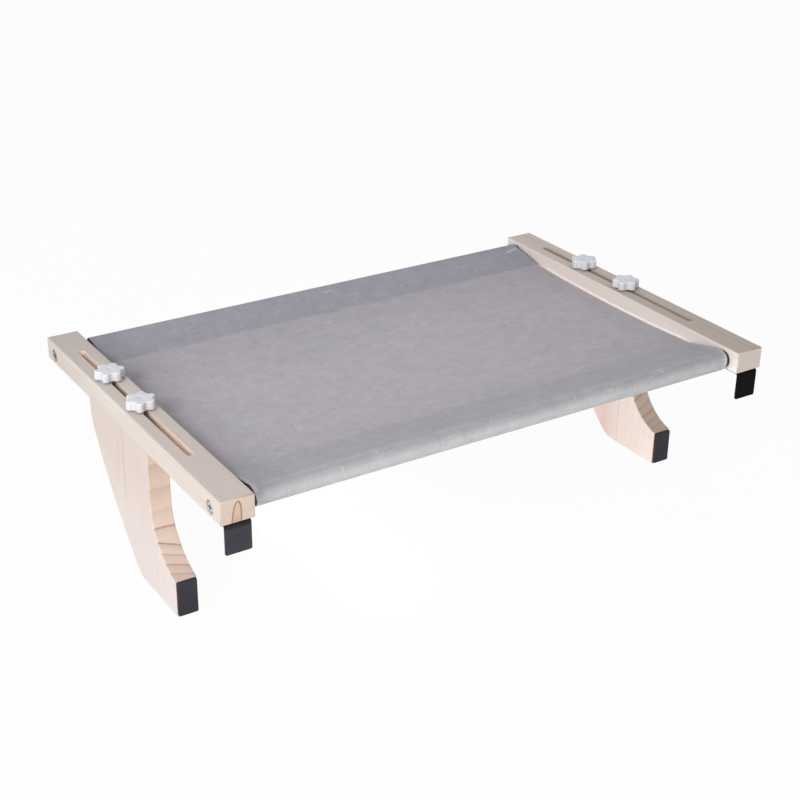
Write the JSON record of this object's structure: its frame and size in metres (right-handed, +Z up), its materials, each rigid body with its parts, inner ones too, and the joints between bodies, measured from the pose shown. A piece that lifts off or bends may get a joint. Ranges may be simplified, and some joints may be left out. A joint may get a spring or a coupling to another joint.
{
  "type": "cat hammock",
  "caption": "Window-sill cat hammock: slotted wooden rails joined by tubes that carry a canvas sling, with edge hooks and sliding curved legs clamped by star knobs.",
  "frame": {"origin": "midway between the rails, where the hooks' inner faces meet the plane of the sill's top", "axes": "+X along the tubes, to the right seen from the hook side; +Y from the hooks to the back; +Z up"},
  "size_m": [0.556, 0.36, 0.1748],
  "materials": {
    "pine": "sanded, clear matt",
    "canvas": "plain-weave canvas",
    "black_steel": "satin black",
    "zinc_steel": "bright zinc",
    "rubber": "matt",
    "brass": "plain",
    "white_plastic": "satin moulded"
  },
  "bodies": {
    "frame": {"left_rail": "pine", "right_rail": "pine", "front_rod": "black_steel", "rear_rod": "black_steel", "front_rod_plugs": "zinc_steel", "rear_rod_plugs": "zinc_steel", "left_rod_bolts": "zinc_steel", "right_rod_bolts": "zinc_steel", "sling": "canvas", "left_hook": "black_steel", "right_hook": "black_steel", "left_hook_screws": "zinc_steel", "right_hook_screws": "zinc_steel"},
    "left_leg": {"left_leg": "pine", "left_foot_pad": "rubber", "left_inserts": "brass"},
    "right_leg": {"right_leg": "pine", "right_foot_pad": "rubber", "right_inserts": "brass"},
    "left_front_stud": {"left_front_stud": "zinc_steel"},
    "left_front_knob": {"left_front_knob": "white_plastic"},
    "left_rear_stud": {"left_rear_stud": "zinc_steel"},
    "left_rear_knob": {"left_rear_knob": "white_plastic"},
    "right_front_stud": {"right_front_stud": "zinc_steel"},
    "right_front_knob": {"right_front_knob": "white_plastic"},
    "right_rear_stud": {"right_rear_stud": "zinc_steel"},
    "right_rear_knob": {"right_rear_knob": "white_plastic"}
  },
  "joints": [
    {"name": "left_leg_slide", "type": "slide", "parent": "frame", "child": "left_leg", "axis": [0, 1, 0], "range_m": [-0.094, 0.065]},
    {"name": "right_leg_slide", "type": "slide", "parent": "frame", "child": "right_leg", "axis": [0, 1, 0], "range_m": [-0.094, 0.065]},
    {"name": "left_front_lift", "type": "slide", "parent": "left_leg", "child": "left_front_stud", "axis": [0, 0, 1], "range_m": [0, 0.004]},
    {"name": "left_front_turn", "type": "hinge", "parent": "left_front_stud", "child": "left_front_knob", "pos_m": [-0.263, 0.1758, 0.024], "axis": [0, 0, 1], "range_deg": [0, 1440]},
    {"name": "left_rear_lift", "type": "slide", "parent": "left_leg", "child": "left_rear_stud", "axis": [0, 0, 1], "range_m": [0, 0.004]},
    {"name": "left_rear_turn", "type": "hinge", "parent": "left_rear_stud", "child": "left_rear_knob", "pos_m": [-0.263, 0.2428, 0.024], "axis": [0, 0, 1], "range_deg": [0, 1440]},
    {"name": "right_front_lift", "type": "slide", "parent": "right_leg", "child": "right_front_stud", "axis": [0, 0, 1], "range_m": [0, 0.004]},
    {"name": "right_front_turn", "type": "hinge", "parent": "right_front_stud", "child": "right_front_knob", "pos_m": [0.263, 0.1758, 0.024], "axis": [0, 0, 1], "range_deg": [0, 1440]},
    {"name": "right_rear_lift", "type": "slide", "parent": "right_leg", "child": "right_rear_stud", "axis": [0, 0, 1], "range_m": [0, 0.004]},
    {"name": "right_rear_turn", "type": "hinge", "parent": "right_rear_stud", "child": "right_rear_knob", "pos_m": [0.263, 0.2428, 0.024], "axis": [0, 0, 1], "range_deg": [0, 1440]}
  ],
  "couplings": [
    {"joint": "left_front_turn", "follows": "left_front_lift", "rad_per_m": 6283.2},
    {"joint": "left_rear_turn", "follows": "left_rear_lift", "rad_per_m": 6283.2},
    {"joint": "right_front_turn", "follows": "right_front_lift", "rad_per_m": 6283.2},
    {"joint": "right_rear_turn", "follows": "right_rear_lift", "rad_per_m": 6283.2}
  ]
}
